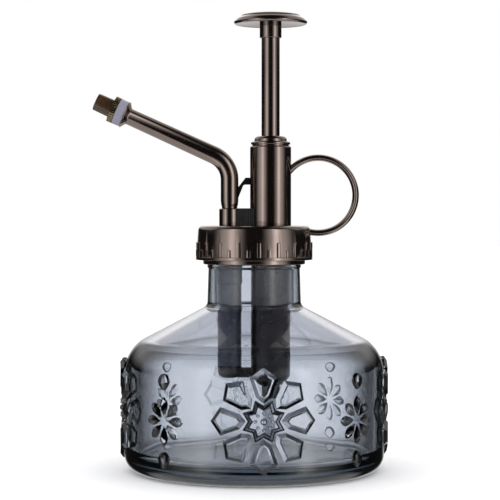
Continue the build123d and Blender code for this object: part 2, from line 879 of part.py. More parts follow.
with BuildPart() as nozzle_ring:
    with BuildSketch(arm.offset(nozzle_start_u)):
        Circle(nozzle_ring_r)
        Circle(nozzle_r + socket_gap, mode=Mode.SUBTRACT)
        with PolarLocations(nozzle_ring_r, nozzle_knurls):
            Rectangle(2 * knurl_depth, knurl_gap_w, mode=Mode.SUBTRACT)
    extrude(amount=nozzle_ring_end_u - nozzle_start_u)
nozzle_ring.part.label = "nozzle_ring"
export_step(nozzle_ring.part, "parts/nozzle_ring.step")

with BuildPart() as nozzle_tip:
    with BuildSketch(arm.offset(nozzle_start_u)):
        Circle(nozzle_r)
    extrude(amount=nozzle_ring_end_u - nozzle_start_u)
    for u, r in ((nozzle_ring_end_u, nozzle_r), (nozzle_end_u, nozzle_tip_r)):
        with BuildSketch(arm.offset(u)):
            Circle(r)
    loft()
    for u, r, end_u in (
        (nozzle_start_u, nozzle_bore_r, nozzle_bore_end_u),
        (nozzle_bore_end_u, orifice_r, nozzle_end_u),
        (nozzle_end_u - nozzle_mouth_depth, nozzle_mouth_r, nozzle_end_u),
    ):
        with BuildSketch(arm.offset(u)):
            Circle(r)
        extrude(amount=end_u - u, mode=Mode.SUBTRACT)
nozzle_tip.part.label = "nozzle_tip"
export_step(nozzle_tip.part, "parts/nozzle_tip.step")

# The brace stands between the barrel and the spout's leg, and both shape its ends.
with BuildPart() as spout_brace:
    with BuildSketch(Plane.XZ):
        Polygon(
            (pump_x - barrel_r + brace_sink, brace_top_z),
            (pump_x - barrel_r - brace_shelf, brace_top_z),
            (column_x + spout_r - brace_sink, brace_top_z - brace_drop),
            (column_x + spout_r - brace_sink, brace_foot_z),
            (pump_x - barrel_r - brace_bend_run, brace_low_z - brace_bend_drop),
            (pump_x - barrel_r - brace_under_run, brace_low_z),
            (pump_x - barrel_r + brace_sink, brace_low_z),
            align=None,
        )
    extrude(amount=brace_half_w, both=True)
    with BuildSketch(Plane.XY.offset(cap_top_z)):
        with Locations((pump_x, 0)):
            Circle(barrel_r)
        with Locations((column_x, 0)):
            Circle(spout_r)
    extrude(amount=barrel_top_z - cap_top_z, mode=Mode.SUBTRACT)
spout_brace.part.label = "spout_brace"
export_step(spout_brace.part, "parts/spout_brace.step")

# The link block fills the gap between the boss and the barrel, with upright ribs on its sides.
with BuildPart() as link_block:
    link_from = column_x + boss_r - link_sink
    link_to = pump_x - barrel_r + link_sink
    with BuildSketch(Plane.XY.offset(cap_top_z)):
        Polygon(
            (link_from, -link_boss_half),
            (link_to, -link_barrel_half),
            (link_to, link_barrel_half),
            (link_from, link_boss_half),
            align=None,
        )
        for k in range(link_ribs):
            share = (k + 0.5) / link_ribs
            rib_x = link_from + share * (link_to - link_from)
            rib_y = link_boss_half + share * (link_barrel_half - link_boss_half)
            with Locations((rib_x, rib_y), (rib_x, -rib_y)):
                Circle(link_rib_r)
        with Locations((pump_x, 0)):
            Circle(barrel_r, mode=Mode.SUBTRACT)
        with Locations((column_x, 0)):
            Circle(boss_r, mode=Mode.SUBTRACT)
    extrude(amount=link_top_z - cap_top_z)
link_block.part.label = "link_block"
export_step(link_block.part, "parts/link_block.step")

with BuildPart() as finger_ring:
    start_way = (cos(radians(ring_start)), 0, sin(radians(ring_start)))
    start_along = (-sin(radians(ring_start)), 0, cos(radians(ring_start)))
    with BuildSketch(Plane(origin=(ring_x, 0, ring_z), x_dir=start_way, z_dir=start_along)):
        with Locations((ring_mid_r, 0)):
            Ellipse(ring_radial_half, ring_depth_half)
    revolve(axis=Axis((ring_x, 0, ring_z), (0, -1, 0)), revolution_arc=ring_sweep)
    with BuildSketch(Plane.XY.offset(cap_top_z)):
        with Locations((pump_x, 0)):
            Circle(barrel_r)
    extrude(amount=barrel_top_z - cap_top_z, mode=Mode.SUBTRACT)
    add(cap_block.part, mode=Mode.SUBTRACT)
finger_ring.part.label = "finger_ring"
export_step(finger_ring.part, "parts/finger_ring.step")
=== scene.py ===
"""Hand mister: a pressed-glass bottle and a plated pump head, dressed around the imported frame."""

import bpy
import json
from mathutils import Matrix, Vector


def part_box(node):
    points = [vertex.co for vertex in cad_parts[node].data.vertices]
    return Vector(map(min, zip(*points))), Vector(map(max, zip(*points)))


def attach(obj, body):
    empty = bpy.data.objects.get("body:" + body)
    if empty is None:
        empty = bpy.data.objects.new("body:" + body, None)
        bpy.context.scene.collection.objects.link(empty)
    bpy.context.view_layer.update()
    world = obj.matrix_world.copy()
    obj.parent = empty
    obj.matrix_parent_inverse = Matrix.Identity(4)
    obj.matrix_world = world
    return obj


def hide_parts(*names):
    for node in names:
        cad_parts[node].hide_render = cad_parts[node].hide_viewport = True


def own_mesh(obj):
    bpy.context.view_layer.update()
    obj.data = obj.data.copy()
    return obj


bl_info = {
    "name": "Hand Mister",
    "version": (1, 0, 0),
    "blender": (4, 5, 0),
    "location": "3D View > Sidebar > Mister",
    "description": "Builds the glass bottle, plated pump head and studio of a hand mister",
    "category": "Add Mesh",
}

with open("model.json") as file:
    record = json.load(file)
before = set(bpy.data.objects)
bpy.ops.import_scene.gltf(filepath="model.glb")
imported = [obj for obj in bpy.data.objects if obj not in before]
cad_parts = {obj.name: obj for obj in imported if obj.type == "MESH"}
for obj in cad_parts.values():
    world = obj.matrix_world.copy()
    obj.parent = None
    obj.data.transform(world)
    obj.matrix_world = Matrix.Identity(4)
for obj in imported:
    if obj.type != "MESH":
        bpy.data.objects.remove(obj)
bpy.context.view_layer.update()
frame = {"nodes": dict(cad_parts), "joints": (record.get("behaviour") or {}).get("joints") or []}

import json
from math import cos, pi, radians, sin, tan

import bmesh
import bpy
from bpy.props import FloatProperty, FloatVectorProperty, IntProperty, PointerProperty
from mathutils import Matrix, Vector

MM = 0.001
NODES = frame["nodes"]


def middle(node):
    """The middle of a node's box."""
    low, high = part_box(node)
    return (low + high) / 2


BOTTLE_LOW, BOTTLE_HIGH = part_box("bottle")
CAP_LOW, CAP_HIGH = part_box("cap_shell")
ROD_LOW, ROD_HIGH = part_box("plunger_rod")
BARREL_LOW, BARREL_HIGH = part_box("pump_barrel")
SOCKET_LOW, SOCKET_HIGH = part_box("spout_socket")
KNOB_LOW, KNOB_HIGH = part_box("knob")
FERRULE_LOW, FERRULE_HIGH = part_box("knob_ferrule")
PUMP_X = middle("plunger_rod").x
SPOUT_X = middle("spout_socket").x
JOINTS = {joint["name"]: joint for joint in frame["joints"]}
CAP_CEILING = CAP_HIGH.z - 1.6 * MM
# The spout's arm: its way, its slope, the corner of its bend, and places along it in millimetres.
ARM_WAY = Vector(JOINTS["nozzle_turn"]["axis"]).normalized()
ARM_SLOPE = radians(24.4)
ARM_CORNER = Vector((SPOUT_X, 0, 110.8 * MM))
COLLAR_AT = 41.4
NOZZLE_AT = 44.53
# Painted shade on the glass: how far a face turns away from the viewer, and the darker colour
# painted there; then the colour of level faces, which carry no painted shade.
GLASS_PAINTED_SHADE_STOPS = (
    (0.28, (0.73, 0.755, 0.80)),
    (0.50, (0.16, 0.175, 0.20)),
    (0.68, (0.0015, 0.0018, 0.002)),
)
LEVEL_GLASS = (0.76, 0.77, 0.83, 1.0)


# ---- settings


def size(name, about, millimetres):
    """A length that the sidebar shows in metres."""
    return FloatProperty(
        name=name, description=about, default=millimetres * MM, unit="LENGTH", precision=5
    )


def colour(name, about, value):
    """A colour without alpha."""
    return FloatVectorProperty(
        name=name, description=about, default=value, subtype="COLOR", size=3, min=0, max=1
    )


class MisterGlass(bpy.types.PropertyGroup):
    body_radius: size("Body radius", "Outside radius of the bottle's upright wall", 46.7)
    wall: size("Wall", "Thickness of the upright wall", 3.5)
    shoulder_wall: size("Shoulder wall", "Thickness of the shoulder", 3.2)
    floor: size("Floor", "Height of the glass floor at the wall", 6.0)
    neck_radius: size("Neck radius", "Outside radius of the neck", 16.5)
    neck_bore: size("Neck bore", "Inside radius of the neck", 14.4)
    flake_height: size("Flake height", "Height of a large flake's middle", 22.8)
    flake_turn: FloatProperty(
        name="Flake turn",
        description="Turn of the first large flake from the front",
        default=radians(3.8),
        subtype="ANGLE",
    )
    tint: colour("Tint", "Colour that passes through the glass", (0.20, 0.29, 0.36))
    density: FloatProperty(
        name="Density", description="How fast the glass swallows light", default=40.0, min=0
    )


class MisterPlating(bpy.types.PropertyGroup):
    bright: colour("Bright", "Plating where it is newest", (0.275, 0.221, 0.199))
    deep: colour("Deep", "Plating where it is darkest", (0.20, 0.165, 0.15))
    steps: IntProperty(name="Steps", description="Sides of a turned piece", default=128, min=32)


class MisterNozzle(bpy.types.PropertyGroup):
    knurls: IntProperty(name="Knurls", description="Ridges round the ring", default=33, min=8)
    collar_tint: colour("Collar", "Plastic of the plain ring", (0.225, 0.215, 0.275))
    tip_tint: colour("Tip", "Plastic of the nozzle's tip", (0.075, 0.036, 0.016))
    brass_tint: colour("Brass", "Metal of the knurled ring", (0.34, 0.29, 0.17))


class MisterStage(bpy.types.PropertyGroup):
    distance: FloatProperty(
        name="Distance", description="Camera to the bottle's axis", default=0.63, unit="LENGTH"
    )
    eye: FloatProperty(
        name="Eye", description="Height of the camera", default=0.0925, unit="LENGTH"
    )
    lens: FloatProperty(name="Lens", description="Focal length in millimetres", default=126.0)
    floor_tint: colour("Floor", "Colour of the floor", (0.90, 0.90, 0.91))


# ---- materials


def blank_material(name):
    """A new material with its tree, shader and object coordinates."""
    made = bpy.data.materials.new(name)
    made.use_nodes = True
    tree = made.node_tree
    shader = tree.nodes["Principled BSDF"]
    places = tree.nodes.new("ShaderNodeTexCoord")
    return made, tree, shader, places.outputs["Object"]


def dimmed(tint, share):
    """A share of a colour."""
    return tuple(c * share for c in tint)


def reckoned(tree, kind, *values):
    """A math node's result, from numbers and sockets."""
    made = tree.nodes.new("ShaderNodeMath")
    made.operation = kind
    for socket, value in zip(made.inputs, values):
        if isinstance(value, float):
            socket.default_value = value
        else:
            tree.links.new(value, socket)
    return made.outputs["Value"]


def stretched(tree, places, scale):
    """Object coordinates scaled along each axis."""
    mapping = tree.nodes.new("ShaderNodeMapping")
    mapping.inputs["Scale"].default_value = scale
    tree.links.new(places, mapping.inputs["Vector"])
    return mapping.outputs["Vector"]


def noise(tree, places, scale, detail=3.0, roughness=0.5):
    """A noise pattern's value."""
    pattern = tree.nodes.new("ShaderNodeTexNoise")
    pattern.inputs["Scale"].default_value = scale
    pattern.inputs["Detail"].default_value = detail
    pattern.inputs["Roughness"].default_value = roughness
    tree.links.new(places, pattern.inputs["Vector"])
    return pattern.outputs["Fac"]


def ramp(tree, value, stops):
    """A value turned into colours at the stops."""
    made = tree.nodes.new("ShaderNodeValToRGB")
    band = made.color_ramp
    while len(band.elements) < len(stops):
        band.elements.new(0.5)
    for element, (place, tint) in zip(band.elements, stops):
        element.position = place
        element.color = (*tint, 1.0)
    tree.links.new(value, made.inputs["Fac"])
    return made.outputs["Color"]


def spread(tree, value, low, high, first=0.3, last=0.7):
    """A value between first and last spread from low to high."""
    made = tree.nodes.new("ShaderNodeMapRange")
    made.inputs["From Min"].default_value = first
    made.inputs["From Max"].default_value = last
    made.inputs["To Min"].default_value = low
    made.inputs["To Max"].default_value = high
    tree.links.new(value, made.inputs["Value"])
    return made.outputs["Result"]


def bumped(tree, shader, value, strength, distance):
    """Bump on a shader's normal."""
    made = tree.nodes.new("ShaderNodeBump")
    made.inputs["Strength"].default_value = strength
    made.inputs["Distance"].default_value = distance
    tree.links.new(value, made.inputs["Height"])
    tree.links.new(made.outputs["Normal"], shader.inputs["Normal"])


def plating(name, settings, along=(1.0, 1.0, 1.0)):
    """Mirror-bright dark bronze plating with faint streaks and wipe marks."""
    made, tree, shader, places = blank_material(name)
    shader.inputs["Metallic"].default_value = 1.0
    cloud = noise(tree, places, 45.0, 4.0)
    tint = ramp(tree, cloud, ((0.3, settings.deep), (0.7, settings.bright)))
    tree.links.new(tint, shader.inputs["Base Color"])
    streak = noise(tree, stretched(tree, places, along), 900.0, 2.0)
    tree.links.new(spread(tree, streak, 0.085, 0.17), shader.inputs["Roughness"])
    bumped(tree, shader, streak, 0.05, 0.00004)
    return made


def smoke_glass(settings):
    """Smoke-grey pressed glass that darkens with its thickness, its faces faintly rippled, with
    painted shade on upright faces that turn away from the viewer.
    """
    made, tree, shader, places = blank_material("smoke_glass")
    shader.inputs["Transmission Weight"].default_value = 1.0
    shader.inputs["IOR"].default_value = 1.5
    shader.inputs["Specular IOR Level"].default_value = 0.3
    ripple = noise(tree, places, 55.0, 2.0)
    tree.links.new(spread(tree, ripple, 0.0, 0.02), shader.inputs["Roughness"])
    bumped(tree, shader, ripple, 0.10, 0.0005)
    # Painted shade: the base colour darkens as upright faces turn away from the viewer, about twice
    # as fast on the raised relief, so edges and beads read dark.
    edge = tree.nodes.new("ShaderNodeLayerWeight")
    edge.inputs["Blend"].default_value = 0.5
    lie = tree.nodes.new("ShaderNodeNewGeometry")
    lie_parts = tree.nodes.new("ShaderNodeSeparateXYZ")
    tree.links.new(lie.outputs["Normal"], lie_parts.inputs["Vector"])
    level = reckoned(tree, "ABSOLUTE", lie_parts.outputs["Z"])
    upright = spread(tree, level, 1.0, 0.0, 0.80, 0.875)
    flat = tree.nodes.new("ShaderNodeVectorMath")
    flat.operation = "MULTIPLY"
    flat.inputs[1].default_value = (1.0, 1.0, 0.0)
    tree.links.new(places, flat.inputs[0])
    reach = tree.nodes.new("ShaderNodeVectorMath")
    reach.operation = "LENGTH"
    tree.links.new(flat.outputs["Vector"], reach.inputs[0])
    relief_from = settings.body_radius + 0.02 * MM
    relief_full = settings.body_radius + 0.15 * MM
    relief_shade_boost = spread(tree, reach.outputs["Value"], 1.0, 2.1, relief_from, relief_full)
    painted_shade_amount = reckoned(tree, "MULTIPLY", edge.outputs["Facing"], relief_shade_boost)
    shade = ramp(tree, painted_shade_amount, GLASS_PAINTED_SHADE_STOPS)
    tint = tree.nodes.new("ShaderNodeMix")
    tint.data_type = "RGBA"
    tree.links.new(upright, tint.inputs["Factor"])
    tint.inputs["A"].default_value = LEVEL_GLASS
    tree.links.new(shade, tint.inputs["B"])
    tree.links.new(tint.outputs["Result"], shader.inputs["Base Color"])
    smoke = tree.nodes.new("ShaderNodeVolumeAbsorption")
    smoke.inputs["Color"].default_value = (*settings.tint, 1.0)
    smoke.inputs["Density"].default_value = settings.density
    tree.links.new(smoke.outputs["Volume"], tree.nodes["Material Output"].inputs["Volume"])
    return made


def moulded(name, light, dark, rough=(0.25, 0.4), grain=500.0, clear=0.0, gloss=0.5):
    """Moulded plastic or rubber with a fine uneven skin."""
    made, tree, shader, places = blank_material(name)
    cloud = noise(tree, places, 120.0, 3.0)
    tree.links.new(ramp(tree, cloud, ((0.35, dark), (0.65, light))), shader.inputs["Base Color"])
    fine = noise(tree, places, grain, 2.0)
    tree.links.new(spread(tree, fine, *rough), shader.inputs["Roughness"])
    bumped(tree, shader, fine, 0.08, 0.00005)
    shader.inputs["Transmission Weight"].default_value = clear
    shader.inputs["Specular IOR Level"].default_value = gloss
    return made


def metal(name, bright, deep, rough=(0.2, 0.35), along=(1.0, 1.0, 1.0)):
    """Bare metal with a drawn or turned grain."""
    made, tree, shader, places = blank_material(name)
    shader.inputs["Metallic"].default_value = 1.0
    grain = noise(tree, stretched(tree, places, along), 700.0, 3.0)
    tree.links.new(ramp(tree, grain, ((0.3, deep), (0.7, bright))), shader.inputs["Base Color"])
    tree.links.new(spread(tree, grain, *rough), shader.inputs["Roughness"])
    bumped(tree, shader, grain, 0.1, 0.00005)
    return made


# ---- shapes


def placed(bm, name, material, body, node, crease=radians(35)):
    """Makes the finished bmesh a smooth-shaded piece that rides on its body."""
    mesh = bpy.data.meshes.new(name)
    bm.to_mesh(mesh)
    bm.free()
    mesh.shade_smooth()
    mesh.set_sharp_from_angle(angle=crease)
    mesh.materials.append(material)
    made = bpy.data.objects.new(name, mesh)
    bpy.context.scene.collection.objects.link(made)
    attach(made, body)
    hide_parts(node)
    return made


def softened(made, width, segments=2):
    """Rounds a piece's hard edges a little, so that they catch the light."""
    edge = made.modifiers.new("edges", "BEVEL")
    edge.width = width
    edge.segments = segments
    edge.limit_method = "ANGLE"
    edge.angle_limit = radians(38)
    edge.harden_normals = False


def wire(bm, points, rounds, closed, segments=6):
    """A profile in the XZ plane, with fillets of the given radii at its corners."""
    verts = [bm.verts.new((x, 0, z)) for x, z in points]
    for a, b in zip(verts, verts[1:]):
        bm.edges.new((a, b))
    if closed:
        bm.edges.new((verts[-1], verts[0]))
    for corner, radius in zip(verts, rounds):
        if not radius:
            continue
        ways = [(e.other_vert(corner).co - corner.co).normalized() for e in corner.link_edges]
        turn = pi - ways[0].angle(ways[1])
        bmesh.ops.bevel(
            bm,
            geom=[corner],
            offset=radius * tan(turn / 2),
            offset_type="OFFSET",
            segments=segments,
            profile=0.5,
            affect="VERTICES",
            material=-1,
        )


def lathe(points, rounds, steps, closed=False, segments=6, centre=0.0):
    """A profile of (radius, height) turned about an upright axis at this X."""
    bm = bmesh.new()
    wire(bm, points, rounds, closed, segments)
    bmesh.ops.spin(
        bm,
        geom=bm.verts[:] + bm.edges[:],
        cent=(0, 0, 0),
        axis=(0, 0, 1),
        angle=2 * pi,
        steps=steps,
        use_merge=True,
        use_duplicate=False,
    )
    bmesh.ops.remove_doubles(bm, verts=bm.verts[:], dist=1e-7)
    bmesh.ops.recalc_face_normals(bm, faces=bm.faces[:])
    bmesh.ops.translate(bm, verts=bm.verts[:], vec=(centre, 0, 0))
    return bm


def verts_of(geom):
    """The vertices among the pieces that an operator gives back."""
    return [g for g in geom if isinstance(g, bmesh.types.BMVert)]


def pushed(bm, face, way):
    """Extrudes a face, moves the new one along a way and returns it."""
    made = bmesh.ops.extrude_face_region(bm, geom=[face])["geom"]
    bmesh.ops.translate(bm, verts=verts_of(made), vec=way)
    return next(g for g in made if isinstance(g, bmesh.types.BMFace))


def closed_up(bm):
    """Fills a swept piece's open ends and turns its faces outwards."""
    bmesh.ops.holes_fill(bm, edges=bm.edges[:], sides=0)
    bmesh.ops.recalc_face_normals(bm, faces=bm.faces[:])


def raised(bm, faces, outward):
    """Extrudes faces of a turned wall straight out from the Z axis."""
    grown = bmesh.ops.extrude_face_region(bm, geom=faces)
    bmesh.ops.delete(bm, geom=faces, context="FACES_ONLY")
    for v in verts_of(grown["geom"]):
        away = Vector((v.co.x, v.co.y, 0)).normalized()
        v.co += away * outward


def facing(face):
    """Turn of a face's middle about Z, from -Y towards +X, and its height."""
    spot = face.calc_center_median()
    return Vector((0, -1)).angle_signed(Vector((spot.x, spot.y))) * -1, spot.z


def near_spoke(turn, first, count, half):
    """Whether a turn is within half of one of the evenly spaced spokes."""
    pitch = 2 * pi / count
    off = (turn - first + pitch / 2) % pitch - pitch / 2
    return abs(off) < half


# ---- the bottle


def petal(bm, turn, outline, sink, rim, border, rise, dish, dish_depth):
    """One faceted petal, flat in XY and pointing out along Z, turned about Z."""
    face = bm.faces.new([bm.verts.new((x, y, -sink)) for x, y in outline])
    face.normal_update()
    top = pushed(bm, face, (0, 0, sink + rim))
    bm.normal_update()
    if top.normal.z < 0:
        top.normal_flip()
    bmesh.ops.inset_region(
        bm, faces=[top], thickness=border, depth=rise, use_even_offset=True, use_boundary=True
    )
    if dish:
        bmesh.ops.inset_region(
            bm, faces=[top], thickness=dish, depth=dish_depth, use_even_offset=True
        )
    piece = connected(top)
    bmesh.ops.rotate(bm, verts=piece, cent=(0, 0, 0), matrix=Matrix.Rotation(turn, 3, "Z"))
    return top


def connected(face):
    """All vertices joined to a face."""
    found = set(face.verts)
    edge = list(found)
    while edge:
        v = edge.pop()
        for e in v.link_edges:
            other = e.other_vert(v)
            if other not in found:
                found.add(other)
                edge.append(other)
    return list(found)


def bead(bm, x, y, radius, tall, high, drop=0.0, sides=20):
    """A round or drop-shaped bead lying in XY."""
    made = bmesh.ops.create_uvsphere(bm, u_segments=sides, v_segments=sides // 2, radius=1.0)
    bmesh.ops.scale(bm, verts=made["verts"], vec=(radius, tall, high))
    for v in made["verts"]:
        if v.co.y < 0:
            v.co.x *= 1.0 + drop * v.co.y / tall
    bmesh.ops.translate(bm, verts=made["verts"], vec=(x, y, 0))


def wrapped(bm, radius, turn, height):
    """Bends a flat relief round the bottle's wall."""
    for v in bm.verts:
        angle = turn + v.co.x / radius
        reach = radius + v.co.z
        v.co = Vector((reach * sin(angle), -reach * cos(angle), height + v.co.y))


def join_into(target, bm):
    """Adds a bmesh to another one."""
    spare = bpy.data.meshes.new("spare")
    bm.to_mesh(spare)
    bm.free()
    target.from_mesh(spare)
    bpy.data.meshes.remove(spare)


def in_metres(*pairs):
    """Points given in millimetres."""
    return [(x * MM, y * MM) for x, y in pairs]


def cuts(*numbers):
    """A petal's sink, rim, border, rise, dish and dish depth, given in millimetres."""
    return [number * MM for number in numbers]


def large_flake():
    """Eight petals round an eight-pointed star."""
    bm = bmesh.new()
    outline = in_metres((6.0, 0), (8.1, -2.55), (14.6, -4.8), (18.0, 0), (14.6, 4.8), (8.1, 2.55))
    for k in range(8):
        petal(bm, k * pi / 4, outline, *cuts(0.9, 0.35, 1.25, 1.1, 0.5, -0.3))
    star = []
    for k in range(16):
        reach = (5.4 if k % 2 == 0 else 7.7) * MM
        star.append((reach * cos(k * pi / 8), reach * sin(k * pi / 8)))
    top = petal(bm, 0.0, star, *cuts(0.9, 0.3, 0.55, 0.7, 0.55, -0.55))
    bmesh.ops.inset_region(
        bm, faces=[top], thickness=0.45 * MM, depth=0.55 * MM, use_even_offset=True
    )
    return bm


def flake_beads():
    """The beads in the middle of a large flake, which stand on its star."""
    bm = bmesh.new()
    bead(bm, 0, 0, 1.4 * MM, 1.4 * MM, 1.65 * MM)
    for k in range(8):
        angle = k * pi / 4
        x, y = 2.85 * MM * cos(angle), 2.85 * MM * sin(angle)
        bead(bm, x, y, 0.85 * MM, 0.85 * MM, 1.5 * MM, sides=12)
    return bm


def small_column():
    """A small eight-petalled flower between two drop-shaped beads."""
    bm = bmesh.new()
    right = ((1.7, 0), (4.0, -1.35), (5.8, -1.8), (7.3, -1.3), (8.3, 0))
    outline = in_metres(*right, (7.3, 1.3), (5.8, 1.8), (4.0, 1.35))
    for k in range(8):
        top = petal(bm, k * pi / 4, outline, *cuts(0.8, 0.1, 0.45, 0.55, 0.0, 0.0))
        bmesh.ops.poke(bm, faces=[top], offset=0.95 * MM)
    for y in (13.4 * MM, -13.3 * MM):
        bead(bm, 0, y, 2.6 * MM, 2.9 * MM, 1.5 * MM, drop=0.35, sides=28)
    return bm


def combined(made, cutter_bm, kind, crease):
    """Unites a piece with another solid, or cuts it with one, and keeps the result."""
    mesh = bpy.data.meshes.new("cutter")
    cutter_bm.to_mesh(mesh)
    cutter_bm.free()
    cutter = bpy.data.objects.new("cutter", mesh)
    bpy.context.scene.collection.objects.link(cutter)
    join = made.modifiers.new("join", "BOOLEAN")
    join.operation = kind
    join.solver = "EXACT"
    join.object = cutter
    bpy.context.view_layer.update()
    ready = made.evaluated_get(bpy.context.evaluated_depsgraph_get())
    result = bpy.data.meshes.new_from_object(ready)
    made.modifiers.clear()
    old = made.data
    made.data = result
    bpy.data.meshes.remove(old)
    bpy.data.objects.remove(cutter)
    bpy.data.meshes.remove(mesh)
    made.data.shade_smooth()
    made.data.set_sharp_from_angle(angle=crease)


class MISTER_OT_bottle(bpy.types.Operator):
    """Build the pressed-glass bottle with its snowflakes"""

    bl_idname = "mister.bottle"
    bl_label = "Bottle"

    def execute(self, context):
        s = context.scene.mister_glass
        slope = radians(27.6)
        drop = tan(slope)
        corner_z = 43.7 * MM

        def shoulder(r):
            return corner_z + (s.body_radius - r) * drop

        inner_drop = s.shoulder_wall / cos(slope)
        bore = s.body_radius - s.wall
        top = BOTTLE_HIGH.z
        bead_z = 73.4 * MM
        back_flake, back_depth = 2, 0.5
        flower_height = 21.6 * MM
        profile = (
            (0.0, 1.0 * MM, 0.0),
            (35.0 * MM, 1.0 * MM, 3.0 * MM),
            (38.0 * MM, 0.0, 1.5 * MM),
            (s.body_radius, 0.0, 6.0 * MM),
            (s.body_radius, corner_z, 13.0 * MM),
            (s.neck_radius + 0.4 * MM, shoulder(s.neck_radius + 0.4 * MM), 2.5 * MM),
            (s.neck_radius, bead_z - 0.9 * MM, 0.3 * MM),
            (s.neck_radius + 0.5 * MM, bead_z, 0.4 * MM),
            (s.neck_radius, bead_z + 0.9 * MM, 0.3 * MM),
            (s.neck_radius, top, 0.5 * MM),
            (s.neck_bore, top, 0.3 * MM),
            (s.neck_bore, shoulder(s.neck_bore) - inner_drop, 3.0 * MM),
            (bore, shoulder(bore) - inner_drop, 10.0 * MM),
            (bore, s.floor, 3.5 * MM),
            (0.0, s.floor + 1.0 * MM, 0.0),
        )
        bm = lathe([p[:2] for p in profile], [p[2] for p in profile], 256, segments=10)
        glass = smoke_glass(s)
        made = placed(bm, "glass_bottle", glass, "bottle", "bottle")
        relief = bmesh.new()
        beads = bmesh.new()
        for k in range(4):
            turn = s.flake_turn + k * pi / 2
            depth = Matrix.Diagonal((1, 1, back_depth if k == back_flake else 1.0))
            flake = large_flake()
            bmesh.ops.transform(flake, matrix=depth.to_4x4(), verts=flake.verts)
            wrapped(flake, s.body_radius, turn, s.flake_height)
            join_into(relief, flake)
            column = small_column()
            wrapped(column, s.body_radius, turn + pi / 4, flower_height)
            join_into(relief, column)
            middle_beads = flake_beads()
            bmesh.ops.transform(middle_beads, matrix=depth.to_4x4(), verts=middle_beads.verts)
            wrapped(middle_beads, s.body_radius, turn, s.flake_height)
            join_into(beads, middle_beads)
        for solid in (relief, beads):
            bmesh.ops.recalc_face_normals(solid, faces=solid.faces[:])
            combined(made, solid, "UNION", radians(22))
        return {"FINISHED"}


# ---- the head


class MISTER_OT_cap(bpy.types.Operator):
    """Build the ribbed screw cap"""

    bl_idname = "mister.cap"
    bl_label = "Cap"

    def execute(self, context):
        s = context.scene.mister_plating
        flange_r = (CAP_HIGH.x - CAP_LOW.x) / 2
        side_r = flange_r - 0.55 * MM
        top = CAP_HIGH.z
        low = CAP_LOW.z
        flange_z = low + 1.6 * MM
        ribs_z = low + 2.7 * MM
        short_z = low + 5.3 * MM
        long_z = low + 7.9 * MM
        bore_r = 17.65 * MM
        pump_hole_r = 6.22 * MM
        column_hole_r = 2.92 * MM
        ribs = 18
        half_rib = radians(1.51)
        profile = (
            (0.0, top, 0.0),
            (side_r - 0.4 * MM, top, 1.6 * MM),
            (side_r, long_z, 0.0),
            (side_r, short_z, 0.0),
            (side_r, ribs_z, 0.0),
            (flange_r, ribs_z, 0.0),
            (flange_r, flange_z, 0.25 * MM),
            (18.4 * MM, flange_z, 0.0),
            (18.4 * MM, low, 0.45 * MM),
            (bore_r, low, 0.1 * MM),
            (bore_r, CAP_CEILING, 0.3 * MM),
            (0.0, CAP_CEILING, 0.0),
        )
        bm = lathe([p[:2] for p in profile], [p[2] for p in profile], 360, segments=6)
        first = radians(4.3)
        for spokes, height in ((first, long_z), (first + pi / ribs, short_z)):
            faces = []
            for f in bm.faces:
                turn, z = facing(f)
                on_wall = abs(f.normal.z) < 0.1 and ribs_z < z < height
                outside = f.calc_center_median().xy.length > 19 * MM
                if on_wall and outside and near_spoke(turn, spokes, ribs, half_rib):
                    faces.append(f)
            raised(bm, faces, flange_r - side_r - 0.02 * MM)
        finish = plating("cap_plating", s, (1, 1, 0.15))
        made = placed(bm, "cap", finish, "head", "cap_shell")
        softened(made, 0.14 * MM)
        for x, hole_r in ((PUMP_X, pump_hole_r), (SPOUT_X, column_hole_r)):
            hole = lathe(
                ((0, top - 3 * MM), (hole_r, top - 3 * MM), (hole_r, top + MM), (0, top + MM)),
                (0, 0, 0, 0),
                s.steps,
                centre=x,
            )
            combined(made, hole, "DIFFERENCE", radians(25))
        return {"FINISHED"}


